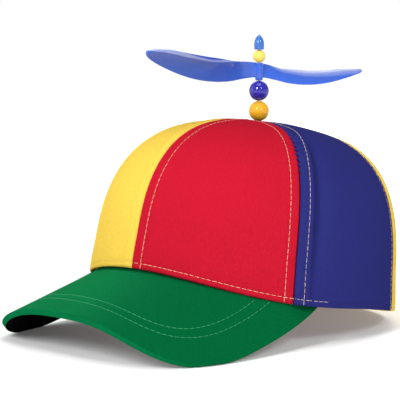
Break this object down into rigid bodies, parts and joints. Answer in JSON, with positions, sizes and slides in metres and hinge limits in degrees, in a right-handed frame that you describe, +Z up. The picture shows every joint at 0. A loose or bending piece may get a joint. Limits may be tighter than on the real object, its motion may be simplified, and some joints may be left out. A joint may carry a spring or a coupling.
{
  "type": "propeller cap",
  "caption": "Cotton panel cap in bright colours with a stiff curved peak and a toy propeller that spins on a beaded spindle standing on its top.",
  "frame": {"origin": "middle of the footprint, on the floor the cap rests on", "axes": "+Z up along the spindle, -Y towards the front of the peak, +X towards the wearer's left"},
  "size_m": [0.177, 0.2422, 0.1725],
  "materials": {
    "cotton_red": "matt woven cotton",
    "cotton_yellow": "matt woven cotton",
    "cotton_blue": "matt woven cotton",
    "cotton_green": "matt woven cotton over board",
    "bead_yellow": "gloss",
    "bead_blue": "gloss",
    "propeller_blue": "gloss, slightly see-through",
    "tip_blue": "gloss",
    "spindle_steel": "plain wire"
  },
  "bodies": {
    "cap": {"panel_front_left": "cotton_red", "panel_side_left": "cotton_blue", "panel_back_left": "cotton_yellow", "panel_back_right": "cotton_red", "panel_side_right": "cotton_blue", "panel_front_right": "cotton_yellow", "peak": "cotton_green", "spindle": "spindle_steel", "bead_lower": "bead_yellow", "bead_upper": "bead_blue", "bead_top": "bead_yellow", "tip": "tip_blue"},
    "propeller": {"propeller": "propeller_blue"}
  },
  "joints": [
    {"name": "propeller_spin", "type": "hinge", "parent": "cap", "child": "propeller", "pos_m": [0, 0.03716, 0.1504], "axis": [0, 0, 1], "continuous": true}
  ]
}
